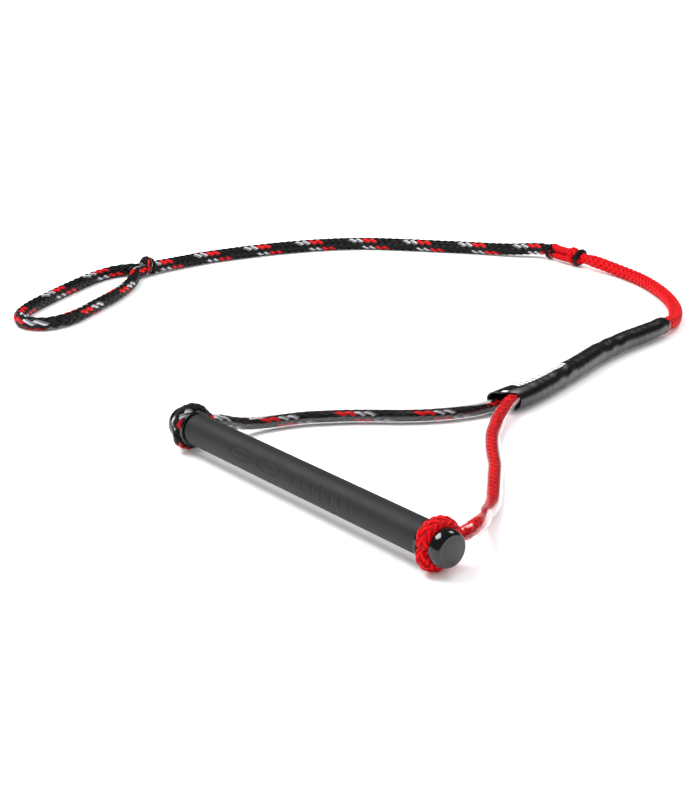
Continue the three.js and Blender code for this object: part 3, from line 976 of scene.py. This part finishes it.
# Tow loop. One turn of single rope, spliced back into the neck, lying open on the ground.
TOW_LOOP = [
    (-0.658, 0.264, 0.0076), (-0.664, 0.252, 0.007), (-0.666, 0.236, 0.0067),
    (-0.659, 0.21, 0.0067), (-0.645, 0.182, 0.0067), (-0.629, 0.153, 0.0067),
    (-0.613, 0.126, 0.0067), (-0.599, 0.103, 0.0067), (-0.585, 0.084, 0.0067),
    (-0.571, 0.07, 0.0067), (-0.555, 0.0615, 0.0067), (-0.539, 0.063, 0.0067),
    (-0.5275, 0.074, 0.0067), (-0.526, 0.09, 0.0067), (-0.532, 0.11, 0.0067),
    (-0.545, 0.133, 0.0067), (-0.559, 0.157, 0.0067), (-0.575, 0.182, 0.0067),
    (-0.593, 0.206, 0.0067), (-0.612, 0.228, 0.0067), (-0.628, 0.241, 0.0068),
    (-0.64, 0.251, 0.0071), (-0.646, 0.263, 0.0076),
]
LOOP_RADIUS = 0.0066
LOOP_PITCH = 0.086  # the single rope is drawn out more than the doubled lead
loop_line = route([(-0.6535, 0.275, 0.0092), *TOW_LOOP, (-0.6485, 0.275, 0.0088)])
tow_loop = braid(
    "loop_of_rope", loop_line, LOOP_RADIUS, patterned_braid, 0.15,
    thickness=eased(loop_line, 0.7, 0.7, 0.018), pitch=LOOP_PITCH)
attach(tow_loop, "tow_line")
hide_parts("tow_loop")

# Floor, lights and camera. A plain white floor and white surroundings, darker overhead as black
# gloss sees them, with two soft boxes high on the left.
floor_low, _ = cad_box
bpy.ops.mesh.primitive_plane_add(size=30, location=(0, 0, floor_low.z - 0.0002))
floor = bpy.context.object
floor.name = "studio_floor"
paint = bpy.data.materials.new("white_floor")
paint.use_nodes = True
floor_shader = paint.node_tree.nodes["Principled BSDF"]
floor_shader.inputs["Base Color"].default_value = (0.9, 0.9, 0.905, 1)
floor_shader.inputs["Roughness"].default_value = 0.9
floor_shader.inputs["Specular IOR Level"].default_value = 0.1
floor.data.materials.append(paint)

world = bpy.data.worlds.new("studio")
bpy.context.scene.world = world
world.use_nodes = True
sky = world.node_tree
direction = wired(sky, "ShaderNodeTexCoord").outputs["Generated"]
height = wired(sky, "ShaderNodeSeparateXYZ", {0: direction})
mirrored = wired(sky, "ShaderNodeValToRGB", {"Fac": height.outputs["Z"]})
mirrored.color_ramp.elements[0].color = (0.4, 0.4, 0.4, 1)
mirrored.color_ramp.elements[1].color = (0.02, 0.02, 0.02, 1)
mirrored.color_ramp.elements[1].position = 0.2
ray = wired(sky, "ShaderNodeLightPath")
seen = wired(sky, "ShaderNodeMix", data_type="RGBA")
sky.links.new(ray.outputs["Is Glossy Ray"], seen.inputs["Factor"])
seen.inputs["A"].default_value = (1, 1, 1.01, 1)
sky.links.new(mirrored.outputs["Color"], seen.inputs["B"])
sky.links.new(seen.outputs["Result"], sky.nodes["Background"].inputs["Color"])
sky.nodes["Background"].inputs["Strength"].default_value = 1.08


def soft_box(name, place, size, power):
    """A square soft box that faces the middle of the object."""
    light = bpy.data.lights.new(name, "AREA")
    light.shape, light.size, light.size_y, light.energy = "RECTANGLE", *size, power
    lamp = bpy.data.objects.new(name, light)
    lamp.location = place
    aim = (cad_box[0] + cad_box[1]) / 2 - lamp.location
    lamp.rotation_mode = "QUATERNION"
    lamp.rotation_quaternion = aim.to_track_quat("-Z", "Y")
    bpy.context.scene.collection.objects.link(lamp)


soft_box("soft_box_left", (-1.4, -0.7, 2.3), (1.6, 1.1), 75)
soft_box("soft_box_back", (-0.3, 2.2, 2.5), (1.6, 1.0), 34)

camera_data = bpy.data.cameras.new("camera")
camera_data.lens = 72.45
camera_data.sensor_width = 36
camera_data.clip_end = 60
camera = bpy.data.objects.new("camera", camera_data)
camera.location = (0.8842, -0.6689, 0.464)
camera.rotation_mode = "QUATERNION"
camera.rotation_quaternion = Vector((-0.7356, 0.5938, -0.3256)).to_track_quat("-Z", "Y")
bpy.context.scene.collection.objects.link(camera)
bpy.context.scene.camera = camera
bpy.context.scene.view_settings.view_transform = "Standard"
